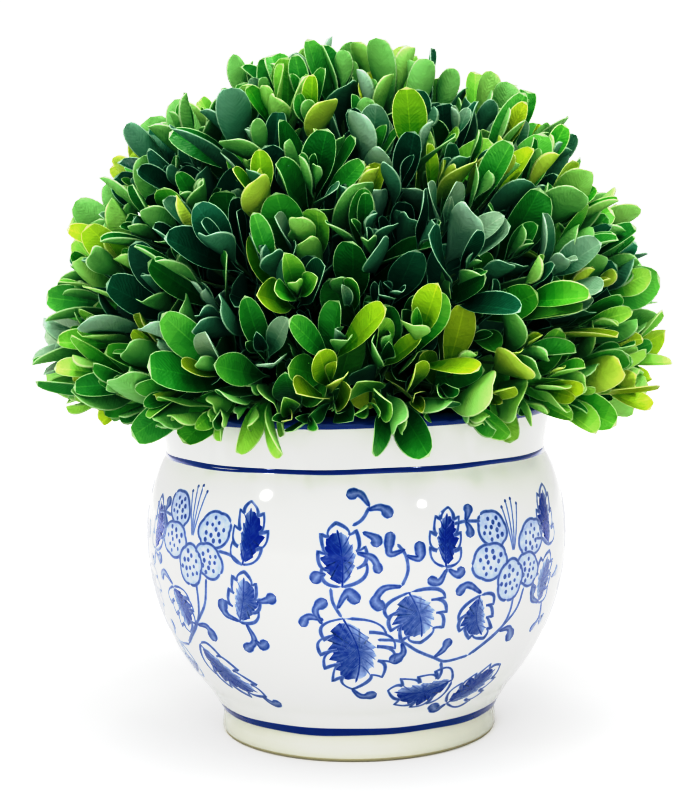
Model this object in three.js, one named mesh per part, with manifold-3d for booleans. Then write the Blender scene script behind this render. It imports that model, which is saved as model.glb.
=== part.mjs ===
// A clipped ball of box in a round glazed pot, life size.
// Millimetres, +Z up. The origin is the centre of the pot's underside and the front faces -Y.

import * as THREE from 'three';
import { mergeVertices } from 'three/addons/utils/BufferGeometryUtils.js';
import Module from 'manifold-3d';

const wasm = await Module();
wasm.setup();

// Pot: a bowl turned from two arcs that meet at the belly, a flared collar and a foot ring
const potHeight = 121;
const bellyRadius = 76.2;
const bellyHeight = 72.9;
const lowerArc = 84;
const upperArc = 62;
const arcFoot = 18;
const neckHeight = 102.4;
const collarRadius = 71.5;
const lipRound = 2.5;
const footRadius = 50.2;
const footGroove = 49.9;
const footGrooveHeight = 8.5;
const footTopRadius = 50.8;
const footTop = 10.4;
const footBevel = 2;
const footRingInner = 42;
const footRecess = 3;
const floorThickness = 5;
const floorCorner = 6;
const wall = 4.6;
const potSides = 48;
const wallSteps = 6;

// Dry packing in the pot, and the short stem that stands on it
const fit = 0.35;
const fillEdge = 110;
const fillShoulder = 113;
const fillTop = 114;
const fillFlat = 14;
const fillShoulderRadius = 28;
const stemRootRadius = 8;
const stemFlareRadius = 6;
const stemRadius = 5;
const stemTopRadius = 4.5;
const stemFlareHeight = 8;
const stemTop = 142;
const stemSides = 12;

// Crown: tips that reach a sphere, round a smaller core that rests on the pot's rim
const crownRadius = 112.3;
const crownCentre = 138;
const coreRadius = 78;
const coreDetail = 3;
const boreRadius = 5.7;
const boreOverrun = 1;
const crownLowest = 106.5;
const collarClearance = 1.6;

// Sprigs on the core: a golden spiral over the ball and a drooping ring at the rim
const sprigCount = 72;
const sprigLowest = -2;
const sprigSway = 9;
const rimSprigCount = 20;
const rimElevation = -8;
const rimDroop = -34;
const rimDroopVary = 26;
const rimSpacingVary = 0.3;
const goldenAngle = 180 * (3 - Math.sqrt(5));
const growth = 90;

// A sprig: a three-sided twig sunk in the core, with pairs of leaves that cross each other
const twigSunk = 7;
const twigReach = 14;
const twigFoot = 2.6;
const twigTip = 2.2;
const leafPairs = [
  { along: 1.5, spread: 54, length: 26 },
  { along: 7.5, spread: 38, length: 27 },
  { along: 13, spread: 20, length: 24 },
];
const spreadVary = 12;
const lengthVary = 0.2;
const picksPerSprig = 7;
const leafSides = 5;
const leafWidth = 0.6;
const leafFullness = 0.6;
const leafTaper = 0.3;
const leafThickness = 1.1;
const leafCup = 1.3;
const leafStart = 0.6;
const tipUneven = 4;
const tipMargin = 0.2;

// How close two corners count as one, and how far a fused face may shift to drop a sliver
const sameVertex = 1e-4;
const slack = 0.02;

const upright = new THREE.Vector3(0, 0, 1);
const rad = THREE.MathUtils.degToRad;

// The same number between 0 and 1 each time for the same pair of whole numbers
function dice(a, b) {
  const value = Math.sin((a + growth) * 12.9898 + b * 78.233) * 43758.5453;
  return value - Math.floor(value);
}

function solidOf(geometry) {
  geometry.deleteAttribute('normal');
  geometry.deleteAttribute('uv');
  const merged = mergeVertices(geometry, sameVertex);
  return new wasm.Manifold(new wasm.Mesh({
    numProp: 3,
    vertProperties: new Float32Array(merged.attributes.position.array),
    triVerts: new Uint32Array(merged.index.array),
  }));
}

function geometryOf(solid) {
  const mesh = solid.getMesh();
  const geometry = new THREE.BufferGeometry();
  geometry.setAttribute('position', new THREE.BufferAttribute(mesh.vertProperties, 3));
  geometry.setIndex(new THREE.BufferAttribute(mesh.triVerts, 1));
  geometry.computeVertexNormals();
  return geometry;
}

// Turned about +Z from a list of [radius, height] that starts and ends on the axis
function turned(profile, sides) {
  const points = profile.map(([radius, height]) => new THREE.Vector2(radius, height));
  return new THREE.LatheGeometry(points, sides).rotateX(Math.PI / 2);
}

function potRadius(height) {
  const arc = height < bellyHeight ? lowerArc : upperArc;
  return bellyRadius - arc + Math.sqrt(arc ** 2 - (height - bellyHeight) ** 2);
}

// Points on the bowl's wall between two heights, moved inwards by an inset
function bowlPoints(from, to, steps, inset) {
  const points = [];
  for (let i = 0; i <= steps; i += 1) {
    const height = from + (to - from) * i / steps;
    points.push([potRadius(height) - inset, height]);
  }
  return points;
}

function potGeometry() {
  const lipHeight = potHeight - lipRound;
  const lip = [];
  for (let turn = 0; turn <= 180; turn += 45) {
    lip.push([
      collarRadius - lipRound + lipRound * Math.cos(rad(turn)),
      lipHeight + lipRound * Math.sin(rad(turn)),
    ]);
  }
  const floorHeight = footRecess + floorThickness;
  const cornerHeight = floorHeight + floorCorner;
  return turned([
    [0, footRecess],
    [footRingInner, footRecess],
    [footRingInner + 1, 0],
    [footRadius - footBevel, 0],
    [footRadius, footBevel],
    [footGroove, footGrooveHeight],
    [footTopRadius, footTop],
    ...bowlPoints(arcFoot, bellyHeight, wallSteps, 0),
    ...bowlPoints(bellyHeight, neckHeight, wallSteps / 2, 0).slice(1),
    ...lip,
    ...bowlPoints(neckHeight, cornerHeight, wallSteps, wall),
    [potRadius(cornerHeight) - wall - floorCorner, floorHeight],
    [0, floorHeight],
  ], potSides);
}

function fillGeometry() {
  const bottom = footRecess + floorThickness + fit;
  const corner = footRecess + floorThickness + floorCorner;
  const inset = wall + fit;
  return turned([
    [0, bottom],
    [potRadius(corner) - inset - floorCorner, bottom],
    ...bowlPoints(corner, neckHeight, wallSteps, inset),
    [potRadius(neckHeight) - inset, fillEdge],
    [fillShoulderRadius, fillShoulder],
    [fillFlat, fillTop],
    [0, fillTop],
  ], potSides);
}

function stemGeometry() {
  const foot = fillTop + fit;
  return turned([
    [0, foot],
    [stemRootRadius, foot],
    [stemFlareRadius, foot + stemFlareHeight / 2],
    [stemRadius, foot + stemFlareHeight],
    [stemTopRadius, stemTop],
    [0, stemTop],
  ], stemSides);
}

// A box leaf: five sides, blunt and widest past its middle, thick along its midrib and cupped.
// It lies along +Y from the origin with its upper face towards +Z.
function leafGeometry(length, width) {
  const leaf = new THREE.SphereGeometry(1, leafSides, 2).rotateX(Math.PI / 2).rotateZ(Math.PI / 2);
  const place = leaf.attributes.position;
  const base = 1;
  const tip = Math.cos(Math.PI / leafSides);
  for (let i = 0; i < place.count; i += 1) {
    const along = Math.max((place.getY(i) + base) / (base + tip), 0) ** leafFullness;
    const ridge = Math.abs(place.getZ(i)) > 0.5;
    const lift = ridge ? Math.sign(place.getZ(i)) * leafThickness / 2 - leafCup : 0;
    const narrowed = 1 - leafTaper * along ** 4;
    place.setXYZ(i, place.getX(i) * narrowed * width / 2, along * length, lift);
  }
  return leaf;
}

// Turns a geometry so that its own +Y lies along one direction and its +Z close to another
function aim(geometry, along, up, root) {
  const across = new THREE.Vector3().crossVectors(along, up).normalize();
  const face = new THREE.Vector3().crossVectors(across, along);
  const frame = new THREE.Matrix4().makeBasis(across, along, face).setPosition(root);
  return geometry.applyMatrix4(frame);
}

// Whether a leaf keeps to the crown's space: in the sphere, above the pot's shoulder
// and outside the collar
function keepsToCrown(leaf) {
  const place = leaf.attributes.position;
  const point = new THREE.Vector3();
  for (let i = 0; i < place.count; i += 1) {
    point.fromBufferAttribute(place, i);
    const height = point.z + crownCentre;
    const outside = point.length() > crownRadius || height < crownLowest;
    const belowRim = height < potHeight + fit;
    const nearCollar = Math.hypot(point.x, point.y) < collarRadius + collarClearance;
    if (outside || (belowRim && nearCollar)) return false;
  }
  return true;
}

function direction(azimuth, elevation) {
  return new THREE.Vector3(
    Math.cos(rad(azimuth)) * Math.cos(rad(elevation)),
    Math.sin(rad(azimuth)) * Math.cos(rad(elevation)),
    Math.sin(rad(elevation)),
  );
}

// Where each sprig leaves the core and where it points, about the crown's centre
function sprigPlan() {
  const sprigs = [];
  const lowest = Math.sin(rad(sprigLowest));
  for (let i = 0; i < sprigCount; i += 1) {
    const sine = 1 - (1 - lowest) * (i + 0.5) / sprigCount;
    const elevation = THREE.MathUtils.radToDeg(Math.asin(sine));
    const azimuth = i * goldenAngle;
    sprigs.push({
      seed: i,
      out: direction(azimuth, elevation),
      axis: direction(
        azimuth + sprigSway * (dice(i, 1) * 2 - 1),
        elevation + sprigSway * (dice(i, 2) * 2 - 1),
      ),
    });
  }
  for (let i = 0; i < rimSprigCount; i += 1) {
    const seed = sprigCount + i;
    const azimuth = (i + rimSpacingVary * dice(seed, 1)) * 360 / rimSprigCount;
    sprigs.push({
      seed,
      out: direction(azimuth, rimElevation),
      axis: direction(azimuth, rimDroop + rimDroopVary * (dice(seed, 2) - 0.5)),
    });
  }
  return sprigs;
}

// The twig and the leaves of one sprig, as solids that are sunk into the core and each other.
// A leaf that would leave the crown or cross one on another sprig is skipped.
function sprigSolids({ seed, out, axis }, placed) {
  const root = out.clone().multiplyScalar(coreRadius);
  const turn = 360 * dice(seed, 3);
  const side = new THREE.Vector3().crossVectors(axis, upright).normalize();
  const solids = [];
  const twig = new THREE.CylinderGeometry(twigTip, twigFoot, twigSunk + twigReach, 3);
  twig.translate(0, (twigReach - twigSunk) / 2, 0);
  solids.push(solidOf(aim(twig, axis, side, root)));
  leafPairs.forEach(({ along, spread, length }, level) => {
    for (const half of [0, 180]) {
      const pick = seed * picksPerSprig + level * 2 + half / 180;
      const away = side.clone().applyAxisAngle(axis, rad(turn + level * 90 + half));
      const lean = rad(spread + spreadVary * (dice(pick, 4) - 0.5));
      const heading = axis.clone().multiplyScalar(Math.cos(lean)).addScaledVector(away, Math.sin(lean));
      const up = axis.clone().multiplyScalar(Math.sin(lean)).addScaledVector(away, -Math.cos(lean));
      const start = root.clone().addScaledVector(axis, along).addScaledVector(heading, leafStart);
      const limit = crownRadius - tipUneven * dice(pick, 5) ** 2;
      const rise = start.dot(heading);
      const room = Math.sqrt(rise ** 2 + limit ** 2 - start.lengthSq()) - rise;
      const size = Math.min(length * (1 + lengthVary * (dice(pick, 6) - 0.5)), room - tipMargin);
      const leaf = aim(leafGeometry(size, (size + length) / 2 * leafWidth), heading, up, start);
      if (!keepsToCrown(leaf)) continue;
      const solid = solidOf(leaf);
      leaf.computeBoundingBox();
      const box = leaf.boundingBox;
      const near = placed.filter((other) => other.seed !== seed && other.box.intersectsBox(box));
      if (near.some((other) => !other.solid.intersect(solid).isEmpty())) continue;
      placed.push({ seed, box, solid });
      solids.push(solid);
    }
  });
  return solids;
}

// One fused mass: the core, cut flat above the rim and bored for the stem, and all the sprigs
function crownGeometry() {
  const core = solidOf(new THREE.IcosahedronGeometry(coreRadius, coreDetail));
  const size = 2 * coreRadius;
  const seat = potHeight + fit - crownCentre;
  const below = new THREE.BoxGeometry(size, size, size).translate(0, 0, seat - size / 2);
  const boreHeight = stemTop + fit - crownCentre - seat + boreOverrun;
  const bore = new THREE.CylinderGeometry(boreRadius, boreRadius, boreHeight, stemSides)
    .rotateX(Math.PI / 2)
    .translate(0, 0, seat - boreOverrun + boreHeight / 2);
  const body = core.subtract(solidOf(below)).subtract(solidOf(bore));
  const placed = [];
  const sprigs = sprigPlan().flatMap((sprig) => sprigSolids(sprig, placed));
  const fused = wasm.Manifold.union([body, ...sprigs]).simplify(slack);
  const bodies = fused.decompose().sort((a, b) => b.volume() - a.volume());
  return geometryOf(bodies[0]);
}

function piece(name, geometry, color, roughness) {
  const material = new THREE.MeshStandardMaterial({ color, roughness, metalness: 0 });
  const mesh = new THREE.Mesh(geometry, material);
  mesh.name = name;
  return mesh;
}

const topiary = new THREE.Group();
topiary.add(piece('pot', potGeometry(), 0xeeefe9, 0.15));
topiary.add(piece('pot_fill', fillGeometry(), 0x5b5238, 0.95));
topiary.add(piece('stem', stemGeometry(), 0x7b6a4c, 0.8));

const crown = new THREE.Group();
crown.position.z = crownCentre;
crown.add(piece('foliage_ball', crownGeometry(), 0x3f7a2c, 0.5));
topiary.add(crown);

export default topiary;
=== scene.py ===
import math

import bpy
import numpy as np
from mathutils import Euler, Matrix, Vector
from mathutils.bvhtree import BVHTree


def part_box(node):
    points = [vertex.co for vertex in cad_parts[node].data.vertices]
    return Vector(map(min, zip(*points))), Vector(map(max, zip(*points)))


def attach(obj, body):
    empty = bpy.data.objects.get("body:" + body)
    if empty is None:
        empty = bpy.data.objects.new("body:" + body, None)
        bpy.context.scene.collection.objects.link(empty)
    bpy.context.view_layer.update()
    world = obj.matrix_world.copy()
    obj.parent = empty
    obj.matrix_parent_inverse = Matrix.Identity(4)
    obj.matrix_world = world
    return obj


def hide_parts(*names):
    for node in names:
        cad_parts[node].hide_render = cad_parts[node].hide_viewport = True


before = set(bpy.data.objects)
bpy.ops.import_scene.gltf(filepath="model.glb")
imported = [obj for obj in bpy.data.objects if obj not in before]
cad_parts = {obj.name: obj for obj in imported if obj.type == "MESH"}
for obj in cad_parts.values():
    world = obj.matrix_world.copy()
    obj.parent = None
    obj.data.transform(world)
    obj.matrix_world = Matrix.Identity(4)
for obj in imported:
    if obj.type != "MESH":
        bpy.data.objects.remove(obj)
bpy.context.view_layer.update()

# Everything below is worked out in millimetres and turned to metres when a piece is made
mm = 0.001
rad = math.radians
goldenAngle = math.pi * (3 - math.sqrt(5))
diceSeed = 90


# Makes a mesh piece from points in millimetres, with one material number for each face
def addPiece(name, points, faces, materials, faceMaterial=None):
    points = np.asarray(points, float) * mm
    faces = [np.asarray(group, np.int32) for group in faces]
    mesh = bpy.data.meshes.new(name)
    mesh.vertices.add(len(points))
    mesh.vertices.foreach_set("co", points.astype(np.float32).ravel())
    corners = np.concatenate([group.ravel() for group in faces])
    sizes = np.concatenate([np.full(len(group), group.shape[1]) for group in faces])
    mesh.loops.add(len(corners))
    mesh.loops.foreach_set("vertex_index", corners)
    mesh.polygons.add(len(sizes))
    mesh.polygons.foreach_set("loop_start", (np.cumsum(sizes) - sizes).astype(np.int32))
    if faceMaterial is not None:
        mesh.polygons.foreach_set("material_index", np.asarray(faceMaterial, np.int32))
    mesh.polygons.foreach_set("use_smooth", np.ones(len(sizes), bool))
    for material in materials:
        mesh.materials.append(material)
    mesh.update(calc_edges=True)
    mesh.validate()
    piece = bpy.data.objects.new(name, mesh)
    bpy.context.scene.collection.objects.link(piece)
    return piece


# Hangs a finished piece under the root and hides the CAD parts it stands in for
def settle(piece, slot, *nodes):
    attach(piece, "root")
    if nodes:
        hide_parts(*nodes)


# sRGB hex to the linear numbers that a shader takes
def linear(hexColour):
    parts = [int(hexColour[i:i + 2], 16) / 255 for i in (1, 3, 5)]
    return [c / 12.92 if c <= 0.04045 else ((c + 0.055) / 1.055) ** 2.4 for c in parts] + [1]


# Gives a node its inputs, as values or as links from another node or socket
def feed(node, inputs):
    for name, value in inputs.items():
        if isinstance(value, bpy.types.Node):
            value = value.outputs[0]
        if isinstance(value, bpy.types.NodeSocket):
            node.id_data.links.new(value, node.inputs[name])
        else:
            node.inputs[name].default_value = value


# Adds one node with its settings and inputs; a ramp's tones have their places between 0 and 1
def addNode(tree, kind, inputs=None, tones=(), **settings):
    node = tree.nodes.new(kind)
    for name, value in settings.items():
        setattr(node, name, value)
    for i, (place, colour) in enumerate(tones):
        stops = node.color_ramp.elements
        stop = stops[i] if i < 2 else stops.new(place)
        stop.position = place
        stop.color = linear(colour)
    feed(node, inputs or {})
    return node


def shaderOf(material):
    return material.node_tree.nodes["Principled BSDF"]


# A material with its shader's own sockets set, and the relief of its finish
def newMaterial(name, sockets, **relief):
    material = bpy.data.materials.new(name)
    material.use_nodes = True
    feed(shaderOf(material), sockets)
    if relief:
        addRelief(material, **relief)
    return material


# Relief and uneven gloss from one noise whose grain is given in millimetres
def addRelief(material, grain, height, gloss=None, detail=3.0):
    tree, shader = material.node_tree, shaderOf(material)
    place = addNode(tree, "ShaderNodeTexCoord")
    noise = addNode(tree, "ShaderNodeTexNoise", {
        "Vector": place.outputs["Object"], "Scale": 1 / (grain * mm), "Detail": detail})
    bump = addNode(tree, "ShaderNodeBump", {"Height": noise, "Distance": height * mm, "Strength": 1.0})
    feed(shader, {"Normal": bump})
    if gloss:
        feed(shader, {"Roughness": addNode(tree, "ShaderNodeMapRange", {
            "Value": noise, "From Min": 0.3, "From Max": 0.7, "To Min": gloss[0], "To Max": gloss[1]})})


# The same number between 0 and 1 each time for the same pair of numbers
def dice(a, b):
    value = np.sin((np.asarray(a, float) + diceSeed) * 12.9898 + b * 78.233) * 43758.5453
    return value - np.floor(value)


# As dice, between -1 and 1
def vary(a, b):
    return dice(a, b) * 2 - 1


# The number that lies a share of the way from one limit to the other
def between(limits, share):
    return limits[0] + (limits[1] - limits[0]) * share


def direction(azimuth, elevation):
    return np.stack([
        np.cos(azimuth) * np.cos(elevation),
        np.sin(azimuth) * np.cos(elevation),
        np.sin(elevation)], -1)


def unit(vectors):
    return vectors / np.linalg.norm(vectors, axis=-1, keepdims=True)


# A bent run of points from one point to another, drawn towards a third
def bentRun(start, control, end, count):
    t = np.linspace(0, 1, count)[:, None]
    start, control, end = (np.array(point) for point in (start, control, end))
    return (1 - t) ** 2 * start + 2 * t * (1 - t) * control + t ** 2 * end


# Faces between neighbouring rows and columns of points; closed rows join their last point to their first
def gridQuads(rows, columns, closed=False):
    row = np.arange(rows - 1)[:, None] * columns
    here = np.arange(columns if closed else columns - 1)[None]
    there = (here + 1) % columns
    quads = np.stack([row + here, row + there, row + columns + there, row + columns + here], -1)
    return quads.reshape(-1, 4)


# The faces of one sheet, repeated for a number of equal sheets
def repeatQuads(quads, count, sheetPoints):
    return (quads[None] + np.arange(count)[:, None, None] * sheetPoints).reshape(-1, 4)


# A surface turned about +Z from a list of (radius, height), closed at the ends on the axis
def turn(profile, sides):
    radius, height = np.array(profile, float).T
    angle = np.linspace(0, 2 * math.pi, sides, endpoint=False)
    points = np.stack([
        np.outer(radius, np.cos(angle)),
        np.outer(radius, np.sin(angle)),
        np.repeat(height[:, None], sides, 1)], -1)
    return points.reshape(-1, 3), gridQuads(len(profile), sides, True)[:, ::-1]


# Pot

pot = {
    "bellyHeight": 72.9,
    "lowerArc": 84.0,
    "upperArc": 62.0,
    "neckHeight": 102.4,
    "collar": 71.5,
    "collarFlare": 1.6,
    "lipRound": 2.5,
    "foot": 50.2,
    # Radius and height of the foot's groove and top, and the height from which the bowl is an arc
    "footGroove": (49.9, 8.5),
    "footTop": (50.8, 10.4),
    "arcFrom": 18.0,
    "footCurve": 0.9,
    "footBevel": 1.4,
    "ringInner": 42.0,
    "recess": 3.0,
    "floor": 5.0,
    "floorRadius": 44.0,
    "wall": 4.6,
    "sides": 256,
    "step": 1.2,
    "glaze": "#cdceca",
    # The foot's thin glaze, darker also as painted shade on the foot
    "footGlazeAndShade": "#c1c2b7",
    "biscuit": "#a9a58c",
}
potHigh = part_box("pot")[1] / mm
pot["belly"] = float(potHigh.x)
pot["height"] = float(potHigh.z)
pot["lipCentre"] = pot["height"] - pot["lipRound"]
thickGlaze = {"Roughness": 0.07, "IOR": 1.5, "Coat Weight": 0.4, "Coat Roughness": 0.03}


# The bowl's outer radius from its two arcs
def bowlRadius(height):
    arc = np.where(height < pot["bellyHeight"], pot["lowerArc"], pot["upperArc"])
    return pot["belly"] - arc + np.sqrt(arc ** 2 - (height - pot["bellyHeight"]) ** 2)


# The outer wall's radius at any height: foot, bowl and collar
def wallRadius(height):
    height = np.asarray(height, float)
    footRadius, footTop = pot["footTop"]
    joint, neck = pot["arcFrom"], pot["neckHeight"]
    rise = np.clip((height - footTop) / (joint - footTop), 0, 1)
    lower = footRadius + (bowlRadius(joint) - footRadius) * rise ** pot["footCurve"]
    climb = np.clip((height - neck) / (pot["lipCentre"] - neck), 0, 1)
    upper = bowlRadius(neck) + (pot["collar"] - bowlRadius(neck)) * climb ** pot["collarFlare"]
    body = bowlRadius(np.clip(height, joint, neck))
    return np.where(height < joint, lower, np.where(height > neck, upper, body))


def buildPot():
    # Poured white glaze: it pools in slow waves of about 25 mm, which bend the reflections
    glaze = newMaterial("whiteGlaze", {"Base Color": linear(pot["glaze"]), **thickGlaze},
                        grain=25, height=0.10, gloss=(0.05, 0.10), detail=1.0)
    # The glaze runs thin over the foot, where the clay warms it, and its darker tone is also painted shade
    # on the foot
    thinShadedGlaze = newMaterial("thinFootGlazeAndShade", {
        "Base Color": linear(pot["footGlazeAndShade"]), "Roughness": 0.10, "IOR": 1.5,
        "Coat Weight": 0.4, "Coat Roughness": 0.05}, grain=12, height=0.06, gloss=(0.08, 0.16), detail=1.0)
    # Unglazed foot, wiped before firing: fine matt grit
    clay = newMaterial("biscuitClay", {"Base Color": linear(pot["biscuit"]), "Roughness": 0.85, "IOR": 1.5},
                       grain=0.8, height=0.05, gloss=(0.75, 0.95))
    foot, bevel, ring, recess = pot["foot"], pot["footBevel"], pot["ringInner"], pot["recess"]
    floor = recess + pot["floor"]
    centre, lipRound, step = pot["lipCentre"], pot["lipRound"], pot["step"]
    under = [(0.01, recess)]
    bare = [(ring, recess), (ring + 0.6, 0.4), (ring + 1, 0), (foot - bevel, 0),
            (foot - bevel * 0.3, bevel * 0.3)]
    side = [(foot, bevel), (foot, bevel * 2.2), (foot - 0.2, bevel * 4), pot["footGroove"]]
    wall = [(float(wallRadius(h)), h) for h in np.arange(pot["footTop"][1], centre, step)]
    lip = [(pot["collar"] - lipRound * (1 - math.cos(a)), centre + lipRound * math.sin(a))
           for a in np.linspace(0, math.pi, 13)]
    inner = [(float(wallRadius(h)) - pot["wall"], h) for h in np.arange(centre - step, floor + 6, -step * 2)]
    inner += [(pot["floorRadius"] + 2, floor + 1.5), (pot["floorRadius"], floor), (0.01, floor)]
    points, faces = turn(under + bare + side + wall + lip + inner, pot["sides"])
    # Bare clay under the ring, thin glaze with painted shade up the foot's side, and white glaze on the rest
    limits = np.cumsum([len(under), len(bare), len(side) + 1])
    zone = np.digitize(np.arange(len(faces)) // pot["sides"], limits)
    piece = addPiece("glazedPot", points, [faces], [glaze, clay, thinShadedGlaze], np.array([0, 1, 2, 0])[zone])
    settle(piece, "glazed_pot", "pot")


buildPot()
print("pot done")


# Painting

painting = {
    "repeats": 4,
    # How far the paint's edges sink under the glaze, and how far each kind of touch lies over it
    "sunk": 0.06,
    "lifts": {"wash": 0.05, "vein": 0.08, "line": 0.11, "dot": 0.14},
    "line": 1.05,
    "lineWander": 0.32,
    # Share of the pigment left at a stroke's edge, and how far a pale fringe of it has spread
    "bleed": 0.50,
    "fringe": 0.35,
    "stem": 1.15,
    "stemTones": (0.76, 0.70),
    "curlWidth": 2.5,
    "curlTones": (0.94, 0.56),
    "knob": 3.9,
    # The lip is painted over its top, from this height on
    "lipFrom": 116.9,
    # How much higher the flower of each repeat sits, as painted by hand
    "flowerRise": [0.0, 2.0, -1.0, 6.0],
    # Shades from the thinnest wash to the darkest pool of pigment
    "shades": [(0.0, "#c6cbd2"), (0.22, "#a6b0ca"), (0.42, "#8898b6"), (0.62, "#687b9f"),
               (0.8, "#475d8e"), (1.0, "#082e82")],
    "bandColour": "#1c357a",
    # Height and width of the two rings
    "bands": [(102.7, 1.85), (11.0, 2.9)],
    "bandSides": 256,
    "flower": {"azimuth": 43.5, "height": 72.0, "petalLength": 14.0, "petalWidth": 11.6},
    # Direction from straight up, distance from the flower's middle, and size of each petal
    "petals": [(-42, 13.2, 0.95), (66, 11.0, 1.05), (-94, 10.6, 1.05), (126, 9.8, 0.95), (188, 8.2, 1.02)],
    "petalTones": [0.16, 0.17, 0.18, 0.2, 0.22, 0.26, 0.3],
    "petalLine": 0.78,
    "petalDots": 12,
    "dotReach": 0.74,
    "dotSize": 0.85,
    "stamens": [(-12, 17.0), (-4, 18.5), (4, 19.0), (13, 17.5)],
    "stamenWidth": 0.55,
    # Leaves: azimuth and height of the base and the tip, width, lobes, depth of pigment
    "leaves": [
        (12.5, 64.0, 16.5, 46.0, 19.0, 3, 0.66),
        (22.5, 71.0, 24.0, 90.5, 10.0, 3, 0.95),
        (32.5, 60.5, 36.0, 44.5, 13.0, 3, 0.70),
        (29.5, 30.5, 9.0, 28.5, 14.5, 3, 0.78),
        (-3.5, 66.0, -5.0, 87.0, 15.0, 3, 0.85),
        (-4.0, 56.0, -2.0, 29.5, 21.0, 4, 0.74),
        (-32.0, 52.0, -29.0, 70.0, 12.5, 3, 0.68),
        (-29.5, 72.0, -28.0, 93.0, 11.5, 3, 0.95),
    ],
    # The leaf below the flower lies one way or the other
    "lowerLeaves": [(31.0, 20.0, 49.0, 32.0, 13.5, 3, 0.78), (39.0, 41.0, 57.0, 24.0, 12.5, 3, 0.72)],
    "notch": 0.38,
    "leafBend": 0.16,
    "midrib": 0.7,
    # Width of a side vein at its start, and how much of it is gone at its end
    "sideVein": (0.85, 0.6),
    # Stems: thin lines through these azimuths and heights
    "stems": [
        [(5, 48), (11, 47), (16, 43), (21, 40), (25, 38), (32, 39)],
        [(-6.5, 66), (-6, 61), (-4, 56)],
        [(25, 85), (28.5, 85.5), (33, 85)],
        [(11, 66), (12.5, 71), (12, 76), (10, 80)],
        [(23.5, 38), (24.5, 34), (24, 31)],
        [(-29.5, 72), (-33, 75), (-37, 76)],
        [(-1, 86), (1.5, 88), (3.5, 92)],
        [(22.5, 71), (22.5, 70), (22, 69)],
    ],
    # The flower's own stems rise with it, from a height where they stay put
    "flowerStems": [
        [(44.5, 60), (44, 52), (41, 46), (33, 39.5)],
        [(48.5, 60), (46.5, 52.5), (40, 45.5), (32, 39)],
    ],
    "stayPut": 38,
    "riseOver": 22,
    # Curls: a thin start, then a brushed comma with a round end
    "curls": [
        [(11, 66), (6.5, 65.5), (4.5, 61.5), (6.5, 58.5)],
        [(3.5, 92), (1, 96), (-2.5, 95.5)],
        [(3, 91), (6.5, 91.5), (9, 88.5)],
        [(1.5, 84), (4.5, 82), (5, 79)],
        [(0, 77.5), (4, 75.5), (5.5, 70.5)],
        [(-7.5, 70.5), (-9.5, 70), (-11, 67.5)],
        [(-5, 59), (-2.5, 64), (0.5, 61)],
        [(-9, 53.5), (-10.5, 58.5), (-7.5, 62)],
        [(-8.5, 55), (-12.5, 56), (-14.5, 52.5)],
        [(-2, 29.5), (1, 26.5), (5.5, 27.5)],
        [(22.5, 70.5), (20.5, 66.5), (17.5, 68)],
        [(23, 70.5), (25.5, 68.5), (27.5, 70.5)],
        [(33, 61), (28.5, 64.5), (25.5, 61.5)],
        [(11.5, 46.5), (12, 42.5), (8.5, 39.5)],
        [(21, 40), (23.5, 42.5), (25, 46.5)],
        [(-26, 60), (-23, 61), (-20.5, 62.5)],
        [(-30, 52), (-28.5, 46), (-32.5, 42)],
        [(-28.5, 46.5), (-26.5, 44.5), (-24.5, 46.5)],
        [(28.5, 85.5), (29.5, 88), (30, 91)],
        [(28.5, 85.5), (29.5, 83), (29.5, 80)],
        [(12, 76), (15.5, 75), (15.5, 80.5)],
        [(12, 78), (8, 77), (8.5, 84)],
        [(-32, 52.5), (-36.5, 55), (-36.5, 60)],
    ],
    "lowerCurls": [[(31, 20), (28, 18), (25, 21)], [(57, 24), (60, 21.5), (63.5, 22)]],
    "flowerCurl": [(41.5, 46), (45.5, 46), (47.5, 41)],
}
lifts = painting["lifts"]
# Shares of the way from a wash's middle to its outline
washShares = np.array([0.0, 0.18, 0.36, 0.54, 0.72, 0.88, 1.0])

# Height up the wall and length along it, to lay out shapes without stretching them
wallHeights = np.linspace(4, pot["lipCentre"], 900)
wallSteps = np.hypot(np.diff(wallHeights), np.diff(wallRadius(wallHeights)))
wallLengths = np.concatenate([[0], np.cumsum(wallSteps)])


# A point of the wall from an anchor (azimuth, height) and a step of mm to the right and up
def onWall(anchor, right, up):
    start = np.interp(anchor[1], wallHeights, wallLengths)
    height = np.interp(start + up, wallLengths, wallHeights)
    return np.stack([anchor[0] + np.degrees(right / wallRadius(height)), height], -1)


# The step of mm to the right and up from one point of the wall to another
def wallStep(start, end):
    low, high = np.interp([start[1], end[1]], wallHeights, wallLengths)
    radius = float(wallRadius((start[1] + end[1]) / 2))
    return rad(end[0] - start[0]) * radius, high - low


# A point round the pot: radius, azimuth from the front to the right, and height
def roundPot(radius, azimuth, height):
    return np.stack([radius * np.sin(azimuth), -radius * np.cos(azimuth), height], -1)


paint = {"points": [], "quads": [], "triangles": [], "pigment": [], "count": 0}


# Adds painted cells to the pot: azimuth and height of each point, its lift off the glaze and its pigment
def lay(spots, raised, pigment, quads=(), triangles=()):
    raised, pigment = (np.broadcast_to(values, spots.shape[:-1]).ravel() for values in (raised, pigment))
    spots = spots.reshape(-1, 2)
    height = spots[:, 1]
    paint["points"].append(roundPot(wallRadius(height) + raised, np.radians(spots[:, 0]), height))
    paint["pigment"].append(np.clip(pigment, 0, 1))
    for name, cells in (("quads", quads), ("triangles", triangles)):
        if len(cells):
            paint[name].append(np.asarray(cells) + paint["count"])
    paint["count"] += len(spots)


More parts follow.
